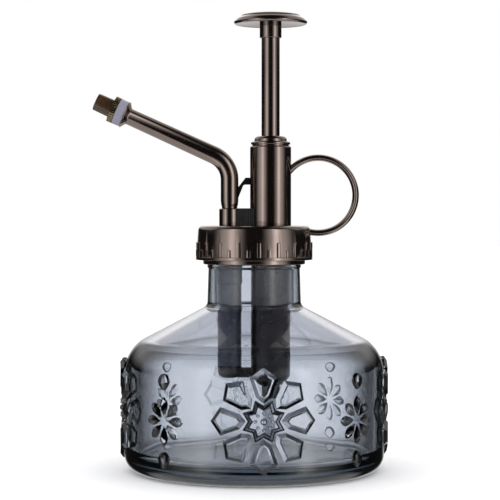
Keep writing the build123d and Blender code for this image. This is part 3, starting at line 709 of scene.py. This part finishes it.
class MISTER_OT_pump(bpy.types.Operator):
    """Build the pump's barrel, gland nut and plunger"""

    bl_idname = "mister.pump"
    bl_label = "Pump"

    def execute(self, context):
        s = context.scene.mister_plating
        upright = plating("upright_plating", s, (1.0, 1.0, 0.05))
        round_top = plating("knob_plating", s)
        barrel_r = (BARREL_HIGH.x - BARREL_LOW.x) / 2
        rod_r = (ROD_HIGH.x - ROD_LOW.x) / 2
        ferrule_r = (FERRULE_HIGH.x - FERRULE_LOW.x) / 2
        rim_r = (KNOB_HIGH.x - KNOB_LOW.x) / 2
        foot, rest = BARREL_LOW.z, BARREL_HIGH.z
        bore_r = barrel_r - 1.18 * MM
        barrel = lathe(
            ((bore_r, foot), (barrel_r, foot), (barrel_r, rest), (bore_r, rest)),
            (0, 0.15 * MM, 0.7 * MM, 0.15 * MM),
            s.steps,
            closed=True,
            centre=PUMP_X,
        )
        placed(barrel, "barrel", upright, "head", "pump_barrel")
        gland_r = rod_r + 0.06 * MM
        nut_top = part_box("gland_nut")[1].z
        nut = lathe(
            (
                (gland_r, rest - 3.3 * MM),
                (bore_r - 0.02 * MM, rest - 3.3 * MM),
                (bore_r - 0.02 * MM, rest),
                (barrel_r - 0.8 * MM, rest),
                (barrel_r - 0.8 * MM, rest + 0.4 * MM),
                (barrel_r - 0.3 * MM, rest + 0.4 * MM),
                (barrel_r - 0.3 * MM, rest + 1.5 * MM),
                (barrel_r - 1.5 * MM, rest + 1.5 * MM),
                (barrel_r - 1.7 * MM, nut_top),
                (gland_r, nut_top),
            ),
            (0, 0, 0, 0, 0, 0.4 * MM, 0.5 * MM, 0.2 * MM, 1.4 * MM, 0.2 * MM),
            s.steps,
            closed=True,
            centre=PUMP_X,
        )
        placed(nut, "gland", round_top, "head", "gland_nut")
        rod = lathe(
            ((0, ROD_LOW.z), (rod_r, ROD_LOW.z), (rod_r, ROD_HIGH.z), (0, ROD_HIGH.z)),
            (0, 0.2 * MM, 0.2 * MM, 0),
            s.steps,
            centre=PUMP_X,
        )
        placed(rod, "rod", upright, "plunger", "plunger_rod")
        low, high = FERRULE_LOW.z, FERRULE_HIGH.z
        ferrule = lathe(
            ((rod_r, low), (ferrule_r, low), (ferrule_r, high), (rod_r, high)),
            (0, 0.3 * MM, 0, 0),
            s.steps,
            closed=True,
            centre=PUMP_X,
        )
        placed(ferrule, "ferrule", upright, "plunger", "knob_ferrule")
        crown, under = KNOB_HIGH.z, KNOB_LOW.z
        step_r = rim_r - 2.9 * MM
        knob = lathe(
            (
                (0, crown),
                (4.5 * MM, crown - 0.24 * MM),
                (8.0 * MM, crown - 0.80 * MM),
                (step_r, crown - 1.45 * MM),
                (step_r + 0.2 * MM, crown - 1.9 * MM),
                (rim_r - 1.2 * MM, crown - 2.7 * MM),
                (rim_r, under + 0.85 * MM),
                (rim_r - 0.7 * MM, under),
                (rim_r - 1.5 * MM, under + 0.25 * MM),
                (ferrule_r, under + 1.1 * MM),
                (0, under + 1.1 * MM),
            ),
            [r * MM for r in (0, 20, 20, 0.15, 0.12, 2.2, 0.5, 0.4, 0.5, 0, 0)],
            s.steps,
            centre=PUMP_X,
        )
        placed(knob, "push_knob", round_top, "plunger", "knob")
        return {"FINISHED"}


def grown(bm, edges, matrix):
    """Extrudes a loop of edges and moves the new loop by a matrix."""
    made = bmesh.ops.extrude_edge_only(bm, edges=edges)["geom"]
    bmesh.ops.transform(bm, matrix=matrix, verts=verts_of(made))
    return [g for g in made if isinstance(g, bmesh.types.BMEdge)]


def widened(place, way, factor, along):
    """A matrix that scales a loop about a place, across a way, and then moves it along."""
    to_place = Matrix.Translation(place)
    across = Matrix.Scale(factor, 4)
    return Matrix.Translation(way * along) @ to_place @ across @ to_place.inverted()


class MISTER_OT_spout(bpy.types.Operator):
    """Build the spout's socket, bent tube, brace and link"""

    bl_idname = "mister.spout"
    bl_label = "Spout"

    def execute(self, context):
        s = context.scene.mister_plating
        tube_plating = plating("spout_plating", s, (0.25, 1.0, 1.0))
        boss_r = (SOCKET_HIGH.x - SOCKET_LOW.x) / 2
        low, high = SOCKET_LOW.z, SOCKET_HIGH.z
        boss = lathe(
            ((2.82 * MM, low), (boss_r, low), (boss_r, high), (2.82 * MM, high)),
            (0, 0.15 * MM, 0.35 * MM, 0.2 * MM),
            s.steps,
            closed=True,
            centre=SPOUT_X,
        )
        finish = plating("boss_plating", s, (1, 1, 0.05))
        placed(boss, "spout_boss", finish, "head", "spout_socket")
        tube_r = 3.2 * MM
        end_r = 2.95 * MM
        foot_r = 2.8 * MM
        foot_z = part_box("spout_tube")[0].z
        bend_r = 9.7 * MM
        bend_turn = pi / 2 - ARM_SLOPE
        leg = bend_r * tan(bend_turn / 2)
        step_r = foot_r * 1.08
        bm = bmesh.new()
        ring = bmesh.ops.create_circle(bm, segments=64, radius=foot_r)
        bmesh.ops.translate(bm, verts=ring["verts"], vec=(SPOUT_X, 0, foot_z))
        loop = bm.edges[:]
        up = Vector((0, 0, 1))
        leg_rings = ((94.8, foot_r, foot_r), (95.4, step_r, foot_r), (97.0, tube_r, step_r))
        for z, r, before in leg_rings:
            bottom = min(v.co.z for e in loop for v in e.verts)
            place = Vector((SPOUT_X, 0, bottom))
            loop = grown(bm, loop, widened(place, up, r / before, z * MM - bottom))
        bottom = min(v.co.z for e in loop for v in e.verts)
        loop = grown(bm, loop, Matrix.Translation(up * (ARM_CORNER.z - leg - bottom)))
        turned = bmesh.ops.spin(
            bm,
            geom=loop + list({v for e in loop for v in e.verts}),
            cent=(SPOUT_X - bend_r, 0, ARM_CORNER.z - leg),
            axis=(0, -1, 0),
            angle=bend_turn,
            steps=20,
            use_duplicate=False,
        )
        loop = [g for g in turned["geom_last"] if isinstance(g, bmesh.types.BMEdge)]
        at = leg
        radius = tube_r
        for u, r in ((39.5, end_r / MM), (40.0, 3.25), (41.0, 4.75), (41.25, 4.92), (41.4, 4.92)):
            place = ARM_CORNER + ARM_WAY * at
            loop = grown(bm, loop, widened(place, ARM_WAY, r * MM / radius, u * MM - at))
            at = u * MM
            radius = r * MM
        closed_up(bm)
        placed(bm, "spout", tube_plating, "head", "spout_tube")
        black = moulded("black_plastic", (0.006,) * 3, (0.004,) * 3, (0.25, 0.4), gloss=0.2)
        self.block(black)
        self.brace(black)
        return {"FINISHED"}

    def block(self, black):
        """The ribbed block between the boss and the barrel."""
        low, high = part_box("link_block")
        wide = high.y
        narrow = 2.2 * MM
        groove = 0.22 * MM
        bm = bmesh.new()
        ends = ((low.x, narrow), (high.x, wide))
        corners = [bm.verts.new((x, y * side, low.z)) for side in (-1, 1) for x, y in ends[::side]]
        face = bm.faces.new(corners)
        pushed(bm, face, (0, 0, high.z - low.z))
        sides = [e for e in bm.edges if abs(e.verts[0].co.z - e.verts[1].co.z) < 1e-6]
        long_sides = [e for e in sides if abs(e.verts[0].co.x - e.verts[1].co.x) > 1e-4]
        bmesh.ops.subdivide_edges(bm, edges=long_sides, cuts=8)
        bm.normal_update()
        walls = [f for f in bm.faces if abs(f.normal.y) > 0.5]
        walls.sort(key=lambda f: (f.normal.y > 0, f.calc_center_median().x))
        for wall in walls[1::2]:
            out = bmesh.ops.extrude_discrete_faces(bm, faces=[wall])["faces"][0]
            inward = -groove if out.normal.y > 0 else groove
            bmesh.ops.translate(bm, verts=out.verts[:], vec=(0, inward, 0))
        bmesh.ops.recalc_face_normals(bm, faces=bm.faces[:])
        made = placed(bm, "link", black, "head", "link_block", radians(25))
        softened(made, 0.12 * MM)

    def brace(self, black):
        """The little bracket between the barrel and the spout's leg."""
        low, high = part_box("spout_brace")
        right = PUMP_X - 7.3 * MM
        left = SPOUT_X + 3.1 * MM
        outline = (
            (right, high.z),
            (right - 1.7 * MM, high.z),
            (left, high.z - 3.4 * MM),
            (left, low.z),
            (right - 2.5 * MM, high.z - 2.7 * MM),
            (right - 1.9 * MM, high.z - 2.5 * MM),
            (right, high.z - 2.5 * MM),
        )
        bm = bmesh.new()
        face = bm.faces.new([bm.verts.new((x, low.y, z)) for x, z in outline])
        pushed(bm, face, (0, high.y - low.y, 0))
        bmesh.ops.recalc_face_normals(bm, faces=bm.faces[:])
        made = placed(bm, "brace", black, "head", "spout_brace", radians(25))
        softened(made, 0.15 * MM)


class MISTER_OT_finger_ring(bpy.types.Operator):
    """Build the finger ring"""

    bl_idname = "mister.finger_ring"
    bl_label = "Finger Ring"

    def execute(self, context):
        s = context.scene.mister_plating
        low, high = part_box("finger_ring")
        outer = (high.z - low.z) / 2
        centre = Vector((high.x - outer, 0, (high.z + low.z) / 2))
        half = 1.2 * MM
        bm = bmesh.new()
        section = bmesh.ops.create_circle(bm, segments=32, radius=1.0)
        bmesh.ops.scale(bm, verts=section["verts"], vec=(half, high.y, 1.0))
        bmesh.ops.translate(bm, verts=section["verts"], vec=(outer - half, 0, 0))
        start = radians(-104.5)
        tilt = Matrix.Rotation(-start, 3, "Y")
        bmesh.ops.rotate(bm, verts=bm.verts[:], cent=(0, 0, 0), matrix=tilt)
        bmesh.ops.translate(bm, verts=bm.verts[:], vec=centre)
        bmesh.ops.spin(
            bm,
            geom=bm.verts[:] + bm.edges[:],
            cent=centre,
            axis=(0, -1, 0),
            angle=radians(247),
            steps=150,
            use_duplicate=False,
        )
        closed_up(bm)
        placed(bm, "ring", plating("ring_plating", s), "head", "finger_ring")
        return {"FINISHED"}


# ---- the nozzle


class MISTER_OT_nozzle(bpy.types.Operator):
    """Build the nozzle's collar, knurled ring and tip"""

    bl_idname = "mister.nozzle"
    bl_label = "Nozzle"

    def execute(self, context):
        s = context.scene.mister_nozzle
        steps = context.scene.mister_plating.steps
        side = ARM_WAY.x / abs(ARM_WAY.x)
        tilt = Matrix.Rotation(side * (pi / 2 - ARM_SLOPE), 4, "Y")

        def along(u):
            return Matrix.Translation(ARM_CORNER + ARM_WAY * u * MM) @ tilt

        pale = s.collar_tint
        lilac = moulded("collar_plastic", pale, dimmed(pale, 0.85), (0.3, 0.45))
        collar = lathe(
            ((2.42 * MM, 0), (4.7 * MM, 0), (4.78 * MM, 3.1 * MM), (2.42 * MM, 3.1 * MM)),
            (0, 0.2 * MM, 0.25 * MM, 0),
            steps,
            closed=True,
        )
        bmesh.ops.transform(collar, matrix=along(COLLAR_AT), verts=collar.verts[:])
        placed(collar, "collar", lilac, "head", "nozzle_collar")
        tint = s.brass_tint
        brass = metal("knurled_brass", tint, dimmed(tint, 0.55), (0.25, 0.45))
        # Painted shade: the knurl's grooves, ends and bore take a near-black copy of the brass.
        painted_groove_shade = metal("knurl_painted_groove_shade", dimmed(tint, 0.06), (0.01, 0.008, 0.005), (0.4, 0.6))
        outer = 4.82 * MM
        inner = 3.32 * MM
        wide = 1.97 * MM
        depth = 0.35 * MM
        half_ridge = pi / s.knurls * 0.52
        knurled = lathe(
            ((inner, 0), (outer - depth, 0), (outer - depth, wide), (inner, wide)),
            (0, 0, 0, 0),
            s.knurls * 6,
            closed=True,
        )
        ridges = [
            f
            for f in knurled.faces
            if abs(f.normal.z) < 0.1
            and f.calc_center_median().xy.length > 4 * MM
            and near_spoke(facing(f)[0], pi / 6 / s.knurls, s.knurls, half_ridge)
        ]
        # Ridges keep the brass; every other face takes the painted groove shade.
        for f in knurled.faces:
            f.material_index = 1
        for f in ridges:
            f.material_index = 0
        raised(knurled, ridges, depth)
        bmesh.ops.transform(knurled, matrix=along(NOZZLE_AT), verts=knurled.verts[:])
        made = placed(
            knurled, "knurled_ring", brass, "nozzle", "nozzle_ring", radians(20)
        )
        made.data.materials.append(painted_groove_shade)
        softened(made, 0.05 * MM, 1)
        dark = dimmed(s.tip_tint, 0.6)
        brown = moulded("tip_plastic", s.tip_tint, dark, (0.12, 0.25), clear=0.35)
        length = 8.17 * MM
        tip = lathe(
            (
                (2.46 * MM, 0),
                (3.3 * MM, 0),
                (3.3 * MM, wide),
                (3.15 * MM, length),
                (1.6 * MM, length),
                (1.5 * MM, length - 0.7 * MM),
                (0.3 * MM, length - 0.7 * MM),
                (0.3 * MM, length - 1.8 * MM),
                (2.46 * MM, length - 1.8 * MM),
            ),
            (0, 0, 0, 0.3 * MM, 0.2 * MM, 0.1 * MM, 0, 0, 0),
            steps,
            closed=True,
        )
        bmesh.ops.transform(tip, matrix=along(NOZZLE_AT), verts=tip.verts[:])
        placed(tip, "tip", brown, "nozzle", "nozzle_tip")
        return {"FINISHED"}


# ---- inside


class MISTER_OT_inside(bpy.types.Operator):
    """Dress the pump's inner pieces, most of them as the frame has them"""

    bl_idname = "mister.inside"
    bl_label = "Inside"

    def execute(self, context):
        steps = context.scene.mister_plating.steps
        bronze = moulded(
            "bronze_plastic", (0.020, 0.017, 0.017), (0.012, 0.010, 0.010), (0.16, 0.28)
        )
        blue = moulded("column_plastic", (0.12, 0.125, 0.165), (0.08, 0.085, 0.115), (0.18, 0.30))
        clear = moulded(
            "clear_plastic", (0.80, 0.83, 0.86), (0.72, 0.76, 0.80), (0.08, 0.2), clear=0.8
        )
        rubber = moulded("seal_rubber", (0.03,) * 3, (0.015,) * 3, (0.5, 0.7))
        steel = metal("ball_steel", (0.75, 0.75, 0.76), (0.62, 0.62, 0.64), (0.08, 0.15))
        low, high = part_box("pump_cylinder")
        ceiling = CAP_CEILING
        flange_z = ceiling - 1.7 * MM
        cylinder = lathe(
            (
                (5.6 * MM, low.z),
                (7.1 * MM, low.z),
                (7.1 * MM, flange_z),
                (7.9 * MM, flange_z),
                (7.9 * MM, ceiling),
                (6.2 * MM, ceiling),
                (6.2 * MM, high.z),
                (5.6 * MM, high.z),
            ),
            (0, 0.2 * MM, 0.3 * MM, 0.2 * MM, 0, 0, 0, 0),
            steps,
            closed=True,
            centre=PUMP_X,
        )
        placed(cylinder, "cylinder", bronze, "head", "pump_cylinder")
        low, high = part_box("discharge_column")
        column = lathe(
            (
                (3.3 * MM, low.z),
                (4.3 * MM, low.z),
                (4.3 * MM, 66.6 * MM),
                (4.6 * MM, 67.2 * MM),
                (4.6 * MM, flange_z),
                (4.9 * MM, flange_z),
                (4.9 * MM, ceiling),
                (2.9 * MM, ceiling),
                (2.9 * MM, high.z),
                (1.9 * MM, high.z),
                (1.9 * MM, flange_z),
                (3.3 * MM, flange_z),
            ),
            (0, 0.2 * MM, 0.3 * MM, 0.3 * MM, 0.1 * MM, 0.1 * MM, 0, 0, 0, 0, 0, 0),
            steps,
            closed=True,
            centre=SPOUT_X,
        )
        placed(column, "column", blue, "head", "discharge_column")
        self.spring()
        finishes = {
            bronze: ("cylinder_foot", "piston"),
            clear: ("inlet_cage", "discharge_seat", "discharge_retainer", "dip_tube", "swirl_core"),
            rubber: ("cap_gasket", "rod_seal", "piston_seal", "nozzle_o_ring"),
            steel: ("inlet_ball", "discharge_ball"),
        }
        for finish, names in finishes.items():
            for name in names:
                for slot in NODES[name].material_slots:
                    slot.material = finish
        return {"FINISHED"}

    def spring(self):
        """The return spring, as a fixed coil on the head; it is not made to shorten as the plunger
        goes down.
        """
        low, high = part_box("return_spring")
        wire_r = 0.42 * MM
        turns = 14
        bm = bmesh.new()
        section = bmesh.ops.create_circle(bm, segments=12, radius=wire_r)
        upright = Matrix.Rotation(pi / 2, 3, "X")
        bmesh.ops.rotate(bm, verts=section["verts"], cent=(0, 0, 0), matrix=upright)
        coil_r = (high.x - low.x) / 2 - wire_r
        bmesh.ops.translate(bm, verts=section["verts"], vec=(PUMP_X + coil_r, 0, low.z + wire_r))
        steps = turns * 24
        rise = (high.z - low.z - 2 * wire_r) / steps
        bmesh.ops.spin(
            bm,
            geom=bm.verts[:] + bm.edges[:],
            cent=(PUMP_X, 0, 0),
            axis=(0, 0, 1),
            dvec=(0, 0, rise),
            angle=turns * 2 * pi,
            steps=steps,
            use_duplicate=False,
        )
        closed_up(bm)
        drawn = metal("spring_wire", (0.62, 0.62, 0.63), (0.48, 0.48, 0.50), (0.2, 0.35))
        made = placed(bm, "spring", drawn, "head", "return_spring")
        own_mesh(made)


# ---- the stage


def softbox(name, turn, distance, height, wide, tall, radiance):
    """A rectangular light at a turn from the front, aimed at the object's middle."""
    lamp = bpy.data.lights.new(name, "AREA")
    lamp.shape = "RECTANGLE"
    lamp.size = wide
    lamp.size_y = tall
    lamp.energy = radiance * pi * wide * tall
    made = bpy.data.objects.new(name, lamp)
    bpy.context.scene.collection.objects.link(made)
    made.location = (distance * sin(turn), -distance * cos(turn), height)
    aim = Vector((0, 0, 0.085)) - made.location
    made.rotation_euler = aim.to_track_quat("-Z", "Y").to_euler()
    made.visible_camera = False
    made.visible_glossy = False
    made.visible_transmission = False


class MISTER_OT_stage(bpy.types.Operator):
    """Set the floor, light and camera"""

    bl_idname = "mister.stage"
    bl_label = "Stage"

    def execute(self, context):
        s = context.scene.mister_stage
        scene = context.scene
        scene.view_settings.view_transform = "Standard"
        self.floor(s)
        self.air()
        for name, turn in (("left_bank", radians(-53)), ("right_bank", radians(53))):
            softbox(name, turn, 0.9, 0.35, 0.6, 0.8, 0.5)
        softbox("rear_bank", radians(180), 0.9, 0.7, 0.8, 0.5, 0.4)
        lens = bpy.data.cameras.new("camera")
        lens.lens = s.lens
        lens.sensor_width = 36.0
        lens.clip_start = 0.01
        lens.clip_end = 50.0
        camera = bpy.data.objects.new("camera", lens)
        scene.collection.objects.link(camera)
        camera.location = (-1.5 * MM, -s.distance, s.eye)
        camera.rotation_euler = (radians(90 - 1.21), 0, 0)
        scene.camera = camera
        return {"FINISHED"}

    def floor(self, s):
        """A pale floor just under the base."""
        bm = bmesh.new()
        bmesh.ops.create_grid(bm, x_segments=4, y_segments=4, size=4.0)
        bmesh.ops.translate(bm, verts=bm.verts[:], vec=(0, 0, -0.1 * MM))
        mesh = bpy.data.meshes.new("floor")
        bm.to_mesh(mesh)
        bm.free()
        made, tree, shader, places = blank_material("pale_floor")
        cloud = noise(tree, places, 3.0, 2.0)
        pale = tuple(s.floor_tint)
        tint = ramp(tree, cloud, ((0.3, dimmed(pale, 0.98)), (0.7, pale)))
        tree.links.new(tint, shader.inputs["Base Color"])
        shader.inputs["Roughness"].default_value = 0.8
        shader.inputs["Specular IOR Level"].default_value = 0.1
        mesh.materials.append(made)
        floor = bpy.data.objects.new("floor", mesh)
        bpy.context.scene.collection.objects.link(floor)
        floor.visible_glossy = False

    def air(self):
        """A white surround with soft bright banks at the sides for the plating to mirror."""
        world = bpy.data.worlds.new("studio")
        bpy.context.scene.world = world
        world.use_nodes = True
        world.cycles.sampling_method = "NONE"
        tree = world.node_tree
        tree.nodes.clear()
        out = tree.nodes.new("ShaderNodeOutputWorld")
        path = tree.nodes.new("ShaderNodeLightPath")
        way = tree.nodes.new("ShaderNodeTexCoord")
        split = tree.nodes.new("ShaderNodeSeparateXYZ")
        tree.links.new(way.outputs["Generated"], split.inputs["Vector"])

        def total(first, second):
            return reckoned(tree, "ADD", first, second)

        def product(first, second):
            return reckoned(tree, "MULTIPLY", first, second)

        def step(value, low, high):
            made = tree.nodes.new("ShaderNodeMapRange")
            made.interpolation_type = "SMOOTHSTEP"
            made.inputs["From Min"].default_value = low
            made.inputs["From Max"].default_value = high
            tree.links.new(value, made.inputs["Value"])
            return made.outputs["Result"]

        def light(tint, strength=1.0):
            made = tree.nodes.new("ShaderNodeBackground")
            made.inputs["Color"].default_value = (*tint, 1.0)
            if isinstance(strength, float):
                made.inputs["Strength"].default_value = strength
            else:
                tree.links.new(strength, made.inputs["Strength"])
            return made.outputs["Background"]

        def mixed(share, first, second):
            made = tree.nodes.new("ShaderNodeMixShader")
            tree.links.new(share, made.inputs["Fac"])
            tree.links.new(first, made.inputs[1])
            tree.links.new(second, made.inputs[2])
            return made.outputs["Shader"]

        # Strengths of the lights that the plating mirrors.
        front_light, core_light, right_extra = 1.05, 0.95, 0.55
        rear_light, high_light, table_light, everywhere = 0.75, 0.75, 0.85, 0.02
        # Where they stand: turns from the front in radians, and heights of the direction.
        x, y, z = (split.outputs[name] for name in "XYZ")
        turn = reckoned(tree, "ARCTAN2", x, product(y, -1.0))
        aside = reckoned(tree, "ABSOLUTE", turn)
        front = product(step(aside, 0.25, 0.75), step(aside, 1.62, 1.0))
        core = product(step(aside, 0.60, 0.80), step(aside, 1.05, 0.80))
        right = total(product(step(turn, 0.2, 0.6), right_extra), core_light)
        bank = total(product(front, front_light), product(core, right))
        rear = product(step(aside, 2.72, 2.95), rear_light)
        level = product(step(z, 0.75, 0.45), step(z, -0.9, -0.3))
        bank = product(total(bank, rear), level)
        high = product(step(z, 0.10, 0.35), step(y, -0.15, 0.35))
        high = product(product(high, step(z, 0.97, 0.80)), high_light)
        table = product(step(z, -0.52, -0.66), table_light)
        bank = total(bank, total(high, table))
        mirrored = light((1.0, 0.98, 0.965), total(bank, everywhere))
        through = light((0.97, 0.985, 1.0), step(z, 0.80, 0.30))
        soft = light((1, 1, 1), 1.35)
        shiny = mixed(step(path.outputs["Glossy Depth"], 0.4, 0.6), through, mirrored)
        dull = mixed(step(path.outputs["Diffuse Depth"], 0.4, 0.6), shiny, soft)
        seen = mixed(path.outputs["Is Camera Ray"], dull, light((1, 1, 1), 1.0))
        tree.links.new(seen, out.inputs["Surface"])


class MISTER_PT_sidebar(bpy.types.Panel):
    """Lists the pieces"""

    bl_idname = "MISTER_PT_sidebar"
    bl_label = "Hand Mister"
    bl_space_type = "VIEW_3D"
    bl_region_type = "UI"
    bl_category = "Mister"

    def draw(self, context):
        scene = context.scene
        for group_name, kind in GROUPS.items():
            box = self.layout.box()
            for name in kind.__annotations__:
                box.prop(getattr(scene, group_name), name)
        for operator in OPERATORS:
            self.layout.operator(operator.bl_idname)


OPERATORS = (
    MISTER_OT_bottle,
    MISTER_OT_cap,
    MISTER_OT_pump,
    MISTER_OT_spout,
    MISTER_OT_finger_ring,
    MISTER_OT_nozzle,
    MISTER_OT_inside,
    MISTER_OT_stage,
)
GROUPS = {
    "mister_glass": MisterGlass,
    "mister_plating": MisterPlating,
    "mister_nozzle": MisterNozzle,
    "mister_stage": MisterStage,
}


def register():
    for name, group in GROUPS.items():
        bpy.utils.register_class(group)
        setattr(bpy.types.Scene, name, PointerProperty(type=group))
    for operator in OPERATORS:
        bpy.utils.register_class(operator)
    bpy.utils.register_class(MISTER_PT_sidebar)


def unregister():
    bpy.utils.unregister_class(MISTER_PT_sidebar)
    for operator in reversed(OPERATORS):
        bpy.utils.unregister_class(operator)
    for name, group in GROUPS.items():
        delattr(bpy.types.Scene, name)
        bpy.utils.unregister_class(group)


def main():
    register()
    for operator in OPERATORS:
        getattr(bpy.ops.mister, operator.bl_idname.split(".")[1])()


if __name__ == "__main__":
    main()
